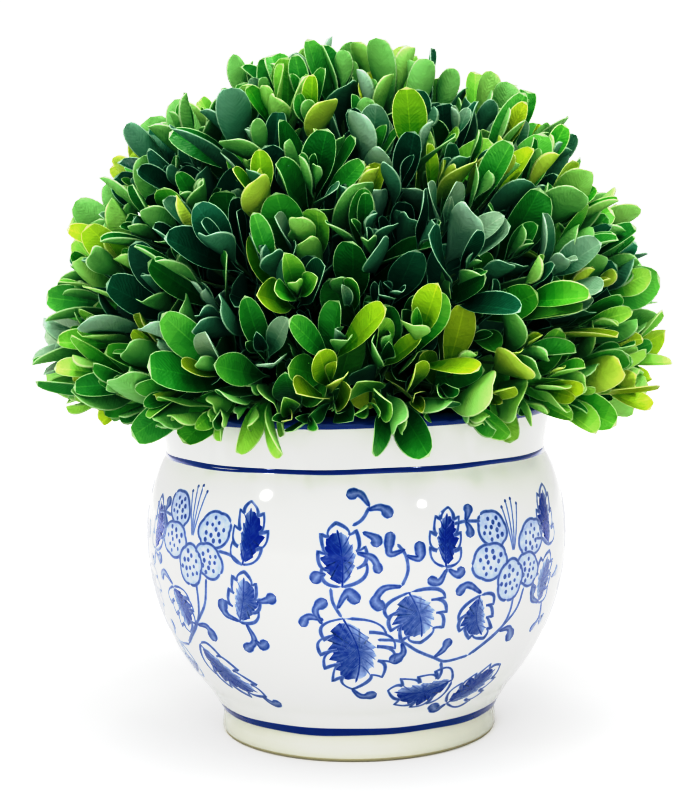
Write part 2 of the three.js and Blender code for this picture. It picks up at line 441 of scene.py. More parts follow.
# A smooth path through a few points of the wall, with a sample about every `step` mm
def smoothPath(points, turned=0.0, step=0.7):
    points = np.asarray(points, float) + [turned, 0]
    points = np.concatenate([2 * points[:1] - points[1:2], points, 2 * points[-1:] - points[-2:-1]])
    path = []
    for a, b, c, d in zip(points, points[1:], points[2:], points[3:]):
        count = max(2, int(math.hypot(*wallStep(b, c)) / step))
        t = np.arange(count)[:, None] / count
        path.append(0.5 * (2 * b + (c - a) * t + (2 * a - 5 * b + 4 * c - d) * t ** 2
                           + (3 * b - a - 3 * c + d) * t ** 3))
    path.append(points[-2:-1])
    return np.concatenate(path)


# A brush stroke along a path: its edges sink into the glaze, and a wide one is darker along its edges
def stroke(path, width, edge, middle, lift):
    radius = wallRadius(path[:, 1])
    length = np.interp(path[:, 1], wallHeights, wallLengths)
    around = np.radians(path[:, 0])
    ahead = unit(np.stack([np.gradient(around) * radius, np.gradient(length)], -1) + 1e-9)
    steps = np.hypot(np.diff(around) * (radius[1:] + radius[:-1]) / 2, np.diff(length))
    gone = np.concatenate([[0], np.cumsum(steps)])
    half = np.broadcast_to(np.asarray(width, float) / 2, gone.shape)
    # Both ends are round
    for near in (gone, gone[-1] - gone):
        half = np.where(near < half, np.sqrt(np.maximum(half ** 2 - (half - near) ** 2, 0.003)), half)
    inner = np.maximum(half - 0.3, half * 0.65)
    outer = half + painting["fringe"]
    columns = np.stack([-outer, -half, -inner, 0 * half, inner, half, outer], -1)
    spots = np.stack([
        path[:, :1] + np.degrees(-ahead[:, 1:] * columns / radius[:, None]),
        np.interp(length[:, None] + ahead[:, :1] * columns, wallLengths, wallHeights)], -1)
    low, sunk = lift / 2, -painting["sunk"]
    wide = np.clip((half - 0.5) / 0.6, 0, 1)[:, None]
    pigment = edge + (middle - edge) * wide * np.array([0, 0, 0.1, 1, 0.1, 0, 0])
    # The glaze has drawn a little pigment out of the edges
    pigment = pigment * np.array([0, painting["bleed"], 1, 1, 1, painting["bleed"], 0])
    lay(spots, [sunk, low, lift, lift, lift, low, sunk], pigment, gridQuads(*columns.shape)[:, ::-1])


# Fills the ring of points round a middle, with a pigment for each share of the way out
def wash(outline, middle, pigment, lift):
    count = len(outline)
    spots = middle + washShares[:, None, None] * (outline - middle)[None]
    raised = np.append(np.full(len(washShares) - 1, lift), -painting["sunk"])[:, None]
    quads = gridQuads(len(washShares) - 1, count, True)[:, [0, 3, 2, 1]] + count
    here = np.arange(count)
    triangles = np.stack([here * 0, count + here, count + (here + 1) % count], -1)
    lay(spots, raised, pigment, quads, triangles)


# A touch of the brush's tip, laid on the glaze or on a wash of the given lift
def dot(anchor, right, up, radius, pigment, on=0.0):
    angle = np.linspace(0, 2 * math.pi, 9)[:-1]
    edge = onWall(anchor, right + radius * np.cos(angle), up + 1.2 * radius * np.sin(angle))
    middle = onWall(anchor, np.array([right]), np.array([up]))
    raised = np.append(np.full(8, on - painting["sunk"] / 2), on + lifts["dot"])
    here = np.arange(8)
    lay(np.concatenate([edge, middle]), raised, pigment,
        triangles=np.stack([here, (here + 1) % 8, here * 0 + 8], -1))


def petal(centre, lean, distance, size, number):
    flower = painting["flower"]
    long, wide = flower["petalLength"] / 2 * size, flower["petalWidth"] / 2 * size
    angle = np.linspace(0, 2 * math.pi, 56)
    # A blunt egg with a few scallops
    scallop = np.abs(np.cos(2.5 * angle + 0.4 * number))
    reach = 0.94 + 0.09 * scallop ** 0.7 + 0.03 * np.cos(3 * angle)
    along = distance + long * reach * np.cos(angle)
    across = wide * reach * np.sin(angle) * (1 + 0.12 * np.cos(angle))
    sine, cosine = math.sin(rad(lean)), math.cos(rad(lean))
    edge = onWall(centre, along * sine + across * cosine, along * cosine - across * sine)
    middle = onWall(centre, np.array([distance * sine]), np.array([distance * cosine]))
    # Each petal lies a little over the one before
    lift = lifts["wash"] + number * 0.03
    wash(edge[:-1], middle, np.array(painting["petalTones"])[:, None], lift)
    stroke(edge, painting["line"], painting["petalLine"], painting["petalLine"], lift + 0.02)
    for i in range(painting["petalDots"]):
        out = painting["dotReach"] * math.sqrt((i + 0.6) / painting["petalDots"])
        along = distance + long * out * math.cos(i * goldenAngle)
        across = wide * out * math.sin(i * goldenAngle)
        dot(centre, along * sine + across * cosine, along * cosine - across * sine,
            painting["dotSize"] + 0.12 * math.sin(i * 2.3), 0.80, lift)


# One side of a lobed leaf, from base to tip, as shares of its length and half its width
def lobedSide(lobes, seed):
    runs = []
    start = (0.02, 0.10)
    for k in range(lobes):
        share = 0.08 + 0.78 * (k + 1) / lobes
        swell = math.sin(math.pi * (0.08 + 0.84 * share)) ** 0.6
        tip = (share, swell * (0.96 + 0.22 * dice(seed, k)))
        notch = (share - 0.06, swell * (1 - painting["notch"]))
        runs.append(bentRun(start, (start[0] + 0.12 * (tip[0] - start[0]), tip[1] * 1.18), tip, 12))
        runs.append(bentRun(tip, (notch[0] + 0.02, tip[1] * 0.92), notch, 6)[1:])
        start = notch
    runs.append(bentRun(start, (0.90, start[1] * 1.25), (1.0, 0.0), 12))
    return np.concatenate(runs)


def paintLeaf(spec, seed, turned):
    azimuth, height, tipAzimuth, tipHeight, width, lobes, tone = spec
    right, up = wallStep((azimuth, height), (tipAzimuth, tipHeight))
    length = math.hypot(right, up)
    cosine, sine = right / length, up / length
    bend = painting["leafBend"] * vary(seed, 2)

    def local(points):
        along, across = points[:, 0] * length, points[:, 1] * width / 2
        across = across + bend * length * np.sin(math.pi * points[:, 0])
        return onWall((azimuth + turned, height), along * cosine - across * sine,
                      along * sine + across * cosine)

    left = lobedSide(lobes, seed)
    other = lobedSide(lobes, seed + 0.5) * [1, -1]
    edge = np.concatenate([left, other[::-1], left[:1]])
    pressed = 1 + painting["lineWander"] * np.sin(np.arange(len(edge)) * 0.33 + seed)
    stroke(local(edge), painting["line"] * pressed, 0.80, 0.74, lifts["line"])
    # The body inside: serrated, dense on one side of the midrib and feathered on the other
    t = np.linspace(0.04, 0.88, 34)
    plump = np.sin(math.pi * (t - 0.02) / 0.90) ** 0.6
    tooth = 1 + 0.34 * ((t * (lobes + 3)) % 1 - 0.5)
    way = 1 if dice(seed, 5) > 0.5 else -1
    body = np.concatenate([np.stack([t, way * 0.93 * plump * tooth], -1),
                           np.stack([t, way * -0.56 * plump * tooth], -1)[::-1]])
    side = -way * np.sign(body[:, 1])
    shares = washShares[:, None]
    streak = 0.12 * np.sin(np.arange(len(body)) * 1.9 + seed)[None]
    pigment = tone + 0.12 - shares ** 1.6 * (0.24 + 0.28 * side[None]) + streak * shares
    wash(local(body), local(np.array([[0.45, 0.04]])), pigment, lifts["wash"])
    deep = min(tone + 0.20, 1)
    midrib = np.stack([np.linspace(0.0, 0.9, 24), 0.02 * np.ones(24)], -1)
    stroke(local(midrib), painting["midrib"], deep, deep, lifts["vein"])
    start, taper = painting["sideVein"]
    run = np.linspace(0, 1, 9)
    for k in range(lobes + 2):
        foot = 0.08 + 0.66 * k / (lobes + 2)
        reach = 0.52 * math.sin(math.pi * (foot + 0.12)) ** 0.5
        for across, pigment in ((way, min(tone + 0.16, 1)), (-way, min(tone + 0.04, 1))):
            vein = np.stack([foot + 0.18 * run, across * reach * run ** 0.8], -1)
            stroke(local(vein), start - taper * run, pigment, pigment, lifts["vein"])


def paintCurl(points, turned, seed):
    path = smoothPath(points, turned, 0.5)
    t = np.linspace(0, 1, len(path))
    knob = painting["knob"] * (0.85 + 0.3 * dice(seed, 3))
    left = np.linspace(math.hypot(*wallStep(path[0], path[-1])) * 1.15, 0, len(path))
    width = between((painting["stem"], painting["curlWidth"]), np.clip(t * 2.2, 0, 1))
    width = width + (knob - painting["curlWidth"]) * np.clip((knob - left) / (knob * 0.28), 0, 1)
    stroke(path, width, *painting["curlTones"], lifts["line"])


def paintUnit(number):
    turned = number * 360 / painting["repeats"]
    rise = painting["flowerRise"][number]
    for i, spec in enumerate(painting["leaves"]):
        paintLeaf(spec, 3 * i + number, turned)
    paintLeaf(painting["lowerLeaves"][number % 2], 40 + number, turned)
    paintCurl(painting["lowerCurls"][number % 2], turned, 50 + number)
    for points in painting["stems"]:
        stroke(smoothPath(points, turned), painting["stem"], *painting["stemTones"], lifts["line"])
    for i, points in enumerate(painting["curls"]):
        paintCurl(points, turned, i + 7 * number)
    for points in painting["flowerStems"]:
        lifted = [(a, h + rise * (h - painting["stayPut"]) / painting["riseOver"]) for a, h in points]
        stroke(smoothPath(lifted, turned), painting["stem"], *painting["stemTones"], lifts["line"])
    paintCurl([(a, h + rise * 0.4) for a, h in painting["flowerCurl"]], turned, 60)
    centre = (painting["flower"]["azimuth"] + turned, painting["flower"]["height"] + rise)
    for i, (lean, distance, size) in enumerate(painting["petals"]):
        petal(centre, lean, distance, size, i)
    run = np.linspace(0.1, 1, 20)
    for lean, reach in painting["stamens"]:
        right, up = math.sin(rad(lean)), math.cos(rad(lean))
        stroke(onWall(centre, reach * run * right, reach * run * up), painting["stamenWidth"],
               0.7, 0.7, lifts["line"])
        dot(centre, reach * right, reach * up, 0.7, 0.8)


def buildPainting():
    for number in range(painting["repeats"]):
        paintUnit(number)
    # Brushed cobalt under the glaze: pools of about 1.5 mm in the wash
    cobalt = newMaterial("cobaltUnderglaze", thickGlaze)
    tree = cobalt.node_tree
    pigment = addNode(tree, "ShaderNodeAttribute", attribute_name="pigment")
    place = addNode(tree, "ShaderNodeTexCoord")
    cloud = addNode(tree, "ShaderNodeTexNoise", {
        "Vector": place.outputs["Object"], "Scale": 1 / (1.5 * mm), "Detail": 3.0})
    uneven = addNode(tree, "ShaderNodeMapRange", {
        "Value": cloud, "From Min": 0.25, "From Max": 0.75, "To Min": -0.10, "To Max": 0.10})
    depth = addNode(tree, "ShaderNodeMath", {0: pigment.outputs["Fac"], 1: uneven},
                    operation="ADD", use_clamp=True)
    shade = addNode(tree, "ShaderNodeValToRGB", {"Fac": depth}, painting["shades"])
    feed(shaderOf(cobalt), {"Base Color": shade})
    piece = addPiece("cobaltPainting", np.concatenate(paint["points"]),
                     [np.concatenate(paint["quads"]), np.concatenate(paint["triangles"])], [cobalt])
    layer = piece.data.attributes.new("pigment", "FLOAT", "POINT")
    layer.data.foreach_set("value", np.concatenate(paint["pigment"]).astype(np.float32))
    settle(piece, "glazed_pot")
    print("painting", len(piece.data.vertices), "points", len(piece.data.polygons), "faces")


# The lip and two rings, drawn with a loaded brush on the wheel: their edges wander a little
def buildBands():
    navy = newMaterial("navyUnderglaze", {"Base Color": linear(painting["bandColour"]), **thickGlaze})
    sides, sunk = painting["bandSides"], -painting["sunk"]
    angle = np.arange(sides) * 2 * math.pi / sides
    points, faces = [], []
    for number, (middle, width) in enumerate(painting["bands"]):
        wander = 0.18 * np.sin(3 * angle + number) + 0.1 * np.sin(11 * angle + 2 * number)
        spread = width / 2 * (1 + 0.10 * np.sin(5 * angle + 3 * number))
        height = middle + wander + np.array([-1, -0.8, 0, 0.8, 1])[:, None] * spread
        radius = wallRadius(height) + np.array([sunk, 0.1, 0.11, 0.1, sunk])[:, None]
        faces.append(gridQuads(5, sides, True) + number * 5 * sides)
        points.append(roundPot(radius, angle, height).reshape(-1, 3))
    faces.append(gridQuads(10, sides, True) + len(painting["bands"]) * 5 * sides)
    start = painting["lipFrom"] + 0.15 * np.sin(4 * angle) + 0.08 * np.sin(13 * angle)
    points.append(roundPot(wallRadius(start) + sunk, angle, start))
    points.append(roundPot(wallRadius(start + 0.3) + 0.1, angle, start + 0.3))
    for over in np.radians([0, 25, 50, 75, 100, 125, 150, 160]):
        lipRadius = pot["lipRound"] + (0.1 if over < rad(155) else sunk)
        radius = pot["collar"] - pot["lipRound"] + lipRadius * math.cos(over) + 0 * angle
        points.append(roundPot(radius, angle, pot["lipCentre"] + lipRadius * math.sin(over) + 0 * angle))
    piece = addPiece("navyBands", np.concatenate(points), [np.concatenate(faces)], [navy])
    settle(piece, "glazed_pot")


buildPainting()
buildBands()
print("painting done")


# Stem and filling

stemLow, stemHigh = (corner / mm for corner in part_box("stem"))
stem = {
    "radii": (8.0, 6.0, 5.0, 4.5),
    "rises": (0.0, 4.0, 8.0, float(stemHigh.z - stemLow.z)),
    "rings": 60,
    "sides": 72,
    "furrows": 11,
    "furrowDepth": 0.5,
    "bark": [(0.35, "#4c3d2a"), (0.65, "#8a7858")],
}
filling = {"fibre": [(0.35, "#1c160c"), (0.65, "#5a4a2c")]}


# Colour that runs between two tones by a noise, stretched along Z as fibres and furrows are
def addGrainColour(material, tones, grain, stretch):
    tree = material.node_tree
    place = addNode(tree, "ShaderNodeTexCoord")
    stretched = addNode(tree, "ShaderNodeMapping", {
        "Vector": place.outputs["Object"], "Scale": (1, 1, 1 / stretch)})
    noise = addNode(tree, "ShaderNodeTexNoise", {
        "Vector": stretched, "Scale": 1 / (grain * mm), "Detail": 4.0})
    feed(shaderOf(material), {"Base Color": addNode(tree, "ShaderNodeValToRGB", {"Fac": noise}, tones)})


# The short woody stem: flared foot, slight taper, and bark whose furrows wander upward
def buildStem():
    rises = np.linspace(0, stem["rises"][-1], stem["rings"])
    radii = np.interp(rises, stem["rises"], stem["radii"])
    profile = [(0.01, 0.0)] + list(zip(radii, rises)) + [(0.01, rises[-1])]
    points, faces = turn(profile, stem["sides"])
    angle, height = np.arctan2(points[:, 1], points[:, 0]), points[:, 2]
    wander = 0.9 * np.sin(height / 5) + 0.5 * np.sin(height / 1.9 + 3 * angle)
    furrow = np.abs(np.sin(stem["furrows"] / 2 * angle + wander))
    flake = 0.25 * np.sin(height * 1.4 + 4 * angle + wander) ** 2
    depth = stem["furrowDepth"] * np.clip(1 - furrow ** 0.5 + flake, 0, 1)
    points[:, :2] *= (1 - depth / stem["radii"][-1])[:, None]
    # Old box bark: corky ridges of about 1 mm along the stem, in two tones mixed by a noise stretched along
    # it
    bark = newMaterial("boxBark", {"Roughness": 0.85, "IOR": 1.45}, grain=0.6, height=0.15)
    addGrainColour(bark, stem["bark"], grain=1.2, stretch=5)
    piece = addPiece("barkStem", points + [0, 0, stemLow.z], [faces], [bark])
    settle(piece, "stem_wood", "stem")


# The packing keeps its own solid and gets its finish
def finishFilling():
    # Shredded dry fibre pressed into the pot: strands of about 1.5 mm, dark between
    fibre = newMaterial("dryPackingFibre", {"Roughness": 0.95, "IOR": 1.4}, grain=1.5, height=0.8)
    addGrainColour(fibre, filling["fibre"], grain=1.5, stretch=1)
    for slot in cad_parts["pot_fill"].material_slots:
        slot.material = fibre


buildStem()
finishFilling()
print("stem done")


# Crown

growth = {
    "centre": 138.0,
    "reach": 115.2,
    "sprigs": 72,
    "lowest": -2.0,
    "rimSprigs": 20,
    "rimElevation": -8.0,
    "rimSpacingVary": 0.3,
    "sway": 9.0,
}
fine = {
    # Storeys from the outside in: each one's shade is the painted shade its leaves take
    "storeys": [
        {"twigs": 270, "lowest": -4.0, "rim": 54, "depth": 0.0, "shade": 0.0},
        {"twigs": 250, "lowest": -3.0, "rim": 38, "depth": 8.0, "shade": 0.55},
        {"twigs": 230, "lowest": -3.0, "rim": 30, "depth": 19.0, "shade": 1.0},
    ],
    # How far a storey's twigs are turned past those of the one before, in steps between twigs
    "spiralShift": 0.37,
    "rimShift": 0.33,
    "root": 54.0,
    "bow": 6.0,
    "twigFoot": 0.75,
    "twigTip": 0.4,
    "twigSides": 5,
    "twigRings": 6,
    "youngBark": "#7d8a5a",
    "uneven": 7.5,
    "valley": 9.0,
    "tipRoom": 21.0,
    # Pairs of leaves down a twig: how far back, degrees off the twig, length, and width as a share of it
    "pairs": [
        (-2.0, 7, 13.0, 0.37),
        (2.0, 13, 21.0, 0.39),
        (6.5, 20, 27.5, 0.40),
        (11.5, 28, 30.0, 0.41),
        (17.0, 36, 29.0, 0.41),
        (23.0, 44, 26.0, 0.42),
    ],
    "from": -30.0,
    "fan": 0.35,
    "stray": 0.35,
    # What varies about a spray and its leaves does so by this much to each side
    "spreadVary": 12,
    "turnVary": 0.25,
    "lengthVary": 0.16,
    "widthVary": (0.75, 1.25),
    "sprayVary": 0.15,
    "upward": 0.24,
    "roll": 40,
    "collarClearance": 0.8,
    # The lowest a leaf reaches by the rim, how much higher others stop, and the lowest of a hanging one
    "rimLevel": 117.0,
    "rimVary": 3.0,
    "lowestTip": 110.0,
    # Twigs by the rim: how much shorter they are, their slope, and how much it varies to each side
    "rimShort": 3,
    "rimSlope": -3,
    "rimSlopeVary": 7,
    # Sprays that hang past the pot's rim: degrees from the front, to the right
    "droopers": [-40, -30, -21, 8, 24, 40, 50, 96, 141, 188, 236, 279],
    "droop": -24.0,
    "droopFrom": 84.0,
}


# Directions of a golden spiral from the ball's top down to its lowest elevation
def spiral(count, lowest, shift=0.0):
    i = np.arange(count)
    sine = 1 - (1 - math.sin(rad(lowest))) * (i + 0.5) / count
    return (i + shift) * goldenAngle, np.arcsin(sine)


# Where the main sprigs leave the ball's middle
def mainSprigs():
    ball = direction(*spiral(growth["sprigs"], growth["lowest"]))
    i = np.arange(growth["rimSprigs"])
    seed = growth["sprigs"] + i
    around = (i + growth["rimSpacingVary"] * dice(seed, 1)) * 2 * math.pi / growth["rimSprigs"]
    rim = direction(around, np.full(len(i), rad(growth["rimElevation"])))
    return np.concatenate([ball, rim])


# The fine twigs of one storey: each runs from a main sprig and fans out to its own end
def fineTwigs(storey, number, sprigs):
    azimuth, elevation = spiral(storey["twigs"], storey["lowest"], number * fine["spiralShift"])
    rim = (np.arange(storey["rim"]) + number * fine["rimShift"]) * 2 * math.pi / storey["rim"]
    hanging = np.radians(np.array([] if number else fine["droopers"], float) - 90)
    azimuth = np.concatenate([azimuth, rim, hanging])
    lowElevations = np.full(len(rim) + len(hanging), rad(growth["rimElevation"]))
    elevation = np.concatenate([elevation, lowElevations])
    index = np.arange(len(azimuth))
    seed = index + 1000 * (number + 1)
    droops = index >= storey["twigs"] + storey["rim"]
    onRim = (index >= storey["twigs"]) & ~droops
    sway = rad(growth["sway"]) * np.where(droops, 0, 1)
    out = direction(azimuth + 0.5 * sway * vary(seed, 1), elevation + 0.5 * sway * vary(seed, 2))
    near = out @ sprigs.T
    nearest = np.argmax(near, 1)
    # Ends sink a little in the valleys between the main sprigs
    second = np.partition(near, -2, 1)[:, -2]
    apart = np.arccos(np.clip(near.max(1), -1, 1)) / (np.arccos(np.clip(second, -1, 1)) + 1e-6)
    valley = fine["valley"] * np.clip(apart, 0, 1) ** 2.5
    envelope = growth["reach"] - storey["depth"] - fine["uneven"] * dice(seed, 4) ** 1.5 - valley
    end = envelope - fine["tipRoom"]
    end = np.where(onRim, end - fine["rimShort"], np.where(droops, fine["droopFrom"], end))
    rimHeight = pot["height"] - growth["centre"]
    root = sprigs[nearest] * fine["root"]
    root[:, 2] = np.maximum(root[:, 2], rimHeight + 1)
    ends = out * end[:, None]
    ends[:, 2] = np.maximum(ends[:, 2], rimHeight + np.where(droops, -4, 2))
    # Twigs lean as if they rose from a point low in the pot's mouth, and fan out round their sprig
    fan = unit(ends - [0, 0, fine["from"]]) + fine["fan"] * unit(ends - root)
    fan = fan + fine["stray"] * np.stack([vary(seed, k) for k in (14, 15, 16)], -1)
    axis = unit(fan + [0, 0, fine["upward"]])
    slope = rad(fine["rimSlope"]) + rad(fine["rimSlopeVary"]) * vary(seed, 17)
    slope = np.where(droops, rad(fine["droop"]), slope)
    around = np.arctan2(out[:, 1], out[:, 0]) + sway * vary(seed, 3)
    axis = np.where((onRim | droops)[:, None], direction(around, slope), axis)
    return {
        "seed": seed, "axis": axis, "end": ends, "root": root,
        "bend": (root + ends) / 2 + (out - axis) * fine["bow"], "droops": droops,
        "sunk": np.full(len(seed), storey["shade"])}


# Leaf sites in opposite pairs along the last stretch of each twig, each pair across the one before
def leafSites(twigs):
    sites = []
    seed, axis = twigs["seed"], twigs["axis"]
    side = unit(np.cross(axis, [0, 0, 1.0]) + 1e-9)
    other = np.cross(axis, side)
    first = 2 * math.pi * dice(seed, 5)
    for level, (back, spread, pairLength, width) in enumerate(fine["pairs"]):
        for half in (0, 1):
            pick = seed * 13 + level * 2 + half
            angle = first + level * math.pi / 2 + half * math.pi + fine["turnVary"] * vary(pick, 6)
            away = side * np.cos(angle)[:, None] + other * np.sin(angle)[:, None]
            lean = np.radians(spread + fine["spreadVary"] * vary(pick, 7))[:, None]
            heading = axis * np.cos(lean) + away * np.sin(lean)
            face = axis * np.sin(lean) - away * np.cos(lean)
            roll = (rad(fine["roll"]) * vary(pick, 8))[:, None]
            length = pairLength * (1 + fine["lengthVary"] * vary(pick, 9))
            length = length * (1 + fine["sprayVary"] * vary(seed, 20))
            sites.append({
                "root": twigs["end"] - axis * back + away * fine["twigTip"], "heading": heading,
                "up": face * np.cos(roll) + np.cross(heading, face) * np.sin(roll), "length": length,
                "width": length * width * between(fine["widthVary"], dice(pick, 10)),
                "pick": pick, "twig": seed, "droops": twigs["droops"], "sunk": twigs["sunk"]})
    return {key: np.concatenate([site[key] for site in sites]) for key in sites[0]}


# The chosen leaves from each list of what is known of them
def choose(sites, which):
    return {key: value[which] for key, value in sites.items()}


leaf = {
    "rows": [0.0, 0.11, 0.23, 0.35, 0.47, 0.58, 0.68, 0.77, 0.85, 0.92, 0.97, 1.0],
    "roughRows": [0.3, 0.5, 0.7, 0.85, 0.98],
    "widest": 0.67,
    "petiole": 0.05,
    "rim": 0.30,
    "rib": 0.22,
    "thickness": 0.3,
    "pointed": (0.62, 1.05),
    "cup": (0.5, 3.2),
    "groove": 0.35,
    "bend": (-3.4, 2.4),
    "bendLength": 22,
    "skew": 0.07,
    "twist": 38.0,
    "wave": 0.4,
    "veinSpacing": 1.3,
    "veinHeight": 0.045,
    "blister": 2.4,
    "blisterHeight": 0.30,
    # Leaves joined in one piece at most
    "most": 620,
}


# One number for each leaf, to work with on all its rows and columns
def each(values):
    return values[:, None, None]


# Half the leaf's width at each row, as a share of its greatest: rounded tip, drawn in at the stalk
def leafOutline(along, pointed):
    widest = leaf["widest"]
    past = np.clip((along - widest) / (1 - widest), 0, 1)
    tip = np.sqrt(1 - past ** 2)[None] ** pointed[:, None]
    stalk = np.sin(math.pi / 2 * np.clip(along / widest, 0, 1)) ** 1.6
    stalk = np.maximum(stalk, leaf["petiole"])[None]
    return np.where(along > widest, tip, stalk * np.ones_like(tip))


# The bent and cupped sheets of all leaves: columns run from -1 at one edge to 1 at the other
def leafSheets(sites, along, columnsOf, drop=0.0):
    pick = sites["pick"]
    outline = leafOutline(along, between(leaf["pointed"], dice(pick, 19)))
    half = np.maximum(sites["width"][:, None] / 2 * outline, 0.02)
    columns = columnsOf(half)
    cup = between(leaf["cup"], dice(pick, 11))
    bend = between(leaf["bend"], dice(pick, 12))
    phase = 2 * math.pi * dice(pick, 13)
    skew = leaf["skew"] * vary(pick, 14)
    v = along[None, :, None]
    length = each(sites["length"])
    edge = np.abs(columns)
    sideways = columns * half[:, :, None]
    lift = each(cup) * edge ** 1.6 * outline[:, :, None]
    lift = lift - leaf["groove"] * np.exp(-(columns * 4) ** 2) * np.sin(math.pi * v ** 0.8)
    ripple = np.sin(5.5 * v + each(phase) + 1.5 * columns)
    lift = lift + leaf["wave"] * edge * ripple * outline[:, :, None] - drop
    twist = each(rad(leaf["twist"]) * vary(pick, 15)) * v
    sideways, lift = (sideways * np.cos(twist) - lift * np.sin(twist),
                      sideways * np.sin(twist) + lift * np.cos(twist))
    sideways = sideways + each(skew) * length * v ** 2
    lift = lift + each(bend * sites["length"] / leaf["bendLength"]) * v ** 2
    forward = v * length * np.ones_like(columns)
    across = np.cross(sites["heading"], sites["up"])
    return (each(sites["root"]) + each(sites["heading"]) * forward[..., None]
            + each(across) * sideways[..., None] + each(sites["up"]) * lift[..., None])


# Keeps the leaves that stay in the crown's space, clear of the pot, and cross no leaf kept before
def keepClear(sites, kept):
    rough = np.array(leaf["roughRows"])

    def roughSheets(chosen):
        sheets = leafSheets(chosen, rough, lambda half: np.array([-0.9, 0, 0.9]) + 0 * half[..., None])
        return sheets.reshape(len(chosen["pick"]), -1, 3)

    sheets = roughSheets(sites)
    height = sheets[..., 2] + growth["centre"]
    spread = np.hypot(sheets[..., 0], sheets[..., 1])
    outside = np.linalg.norm(sheets, axis=-1) > growth["reach"]
    floor = fine["rimLevel"] + fine["rimVary"] * dice(sites["pick"], 18)
    floor = np.where(sites["droops"], fine["lowestTip"], floor)
    clearance = fine["collarClearance"]
    atRim = (height < pot["height"] + clearance) & (spread < pot["collar"] + clearance)
    fits = ~(outside | (height < floor[:, None]) | atRim).any(1)
    sites = choose(sites, fits)
    before = 0
    if kept:
        before = len(kept["pick"])
        sites = {key: np.concatenate([kept[key], sites[key]]) for key in sites}
    sheets = roughSheets(sites)
    count = len(sheets)
    cells = gridQuads(len(rough), 3)
    quads = repeatQuads(cells, count, sheets.shape[1])
    tree = BVHTree.FromPolygons(sheets.reshape(-1, 3).tolist(), quads.tolist())
    hits = {}
    for first, second in tree.overlap(tree):
        a, b = first // len(cells), second // len(cells)
        if a > b:
            hits.setdefault(a, set()).add(b)
    stays = np.zeros(count, bool)
    for i in range(count):
        stays[i] = i < before or not any(stays[j] for j in hits.get(i, ()))
    return choose(sites, stays)


# One closed shell for each leaf: upper face with its rib, underside, and a pale rim round the edge
def growLeaves(sites):
    along = np.array(leaf["rows"])

    def rimOf(half):
        return np.clip(1 - leaf["rim"] / half, 0.3, 1)

    def upperColumns(half):
        one, rim = np.ones_like(half), rimOf(half)
        rib = np.minimum(leaf["rib"] / half, 0.25)
        return np.stack([-one, -rim, -0.55 * rim, -rib, rib, 0.55 * rim, rim, one], -1)

    def underColumns(half):
        return np.array([-1, -0.55, 0, 0.55, 1]) * rimOf(half)[..., None]

    points = np.concatenate([leafSheets(sites, along, upperColumns),
                             leafSheets(sites, along, underColumns, leaf["thickness"])], 2)
    rows, columns = len(along), points.shape[2]
    # Place on the blade, for the veins: mm along them, mm from the rib, and a number for the leaf
    share = np.array([-1, -0.95, -0.52, 0, 0, 0.52, 0.95, 1, -0.95, -0.52, 0, 0.52, 0.95])
    aside = share * each(sites["width"]) / 2
    forward = along[None, :, None] * each(sites["length"])
    number = each(sites["pick"]) % 97 + 0 * aside
    blade = np.stack([forward - 0.8 * np.abs(aside), aside + 0 * forward, number + 0 * forward], -1)
    # Columns 0 to 7 are the upper face and 8 to 12 the underside, which shares the edge columns
    strips = [(0, 1, "rim"), (1, 2, "upper"), (2, 3, "upper"), (3, 4, "rib"), (4, 5, "upper"),
              (5, 6, "upper"), (6, 7, "rim"), (7, 12, "rim"), (12, 11, "under"), (11, 10, "under"),
              (10, 9, "under"), (9, 8, "under"), (8, 0, "rim")]
    quads, kinds = [], []
    for row in range(rows - 1):
        here, there = row * columns, (row + 1) * columns
        for a, b, kind in strips:
            quads.append([here + a, here + b, there + b, there + a])
            kinds.append("rim" if row == rows - 2 and kind != "under" else kind)
    return (points.reshape(len(points), -1, 3), blade.reshape(len(points), -1, 3),
            np.array(quads), np.array(kinds), len(strips))


# Colours of real sprays: share, upper face at its darkest and lightest, which painted shade and light also
# run between, underside, and rim
sprays = {
    "deep": (0.33, "#022a1a", "#50826a", "#668a74", "#9cb8a0"),
    "dusty": (0.08, "#3e6c54", "#9eb09a", "#9ab4a0", "#a8c0a8"),
    "green": (0.30, "#034416", "#70aa5a", "#84b074", "#acc69c"),
    "fresh": (0.18, "#187016", "#a6ca72", "#a0c880", "#b8d09c"),
    "lime": (0.07, "#3c7610", "#b6c84a", "#b8cc6c", "#c6d494"),
    "olive": (0.04, "#48660c", "#a4b440", "#a0b458", "#b8c08c"),
}
tinting = {
    "steps": 16,
    "gloss": {"upper": 0.38, "under": 0.6, "rim": 0.5},
    # How light the underside is at its base and tip: darker at the base as painted shade
    "under": (0.72, 1.06),
    "underSteps": 8,
    # Share of single leaves that stray to another kind of colour than their spray's
    "strays": 0.3,
    # Leaves up to this share of the crown's height, and from the next on, count as young and lit, a younger
    # kind of colour and painted light; so do the flanks'
    "low": 0.28,
    "top": 0.66,
    "lowYoungAndLit": 2.0,
    "topYoungAndLit": 1.3,
    "sunnyYoungAndLit": 0.6,
    "lowSunk": 0.6,
    # How far youth and depth in the crown shift the kind of colour, and how far painted shade deep in and
    # painted light on young and lit leaves darken or lighten a leaf
    "youngKind": 0.31,
    "sunkKind": 0.8,
    "youngPaintedLight": 0.10,
    "sunkPaintedShade": 0.56,
    # Each leaf's own lightness, and the change along the blade, painted light towards the tip and painted
    # shade at the base, and on its rib
    "own": 0.56,
    "start": 0.05,
    "tip": 0.48,
    "base": 0.36,
    "rib": 0.12,
    "marginAhead": 0.04,
}


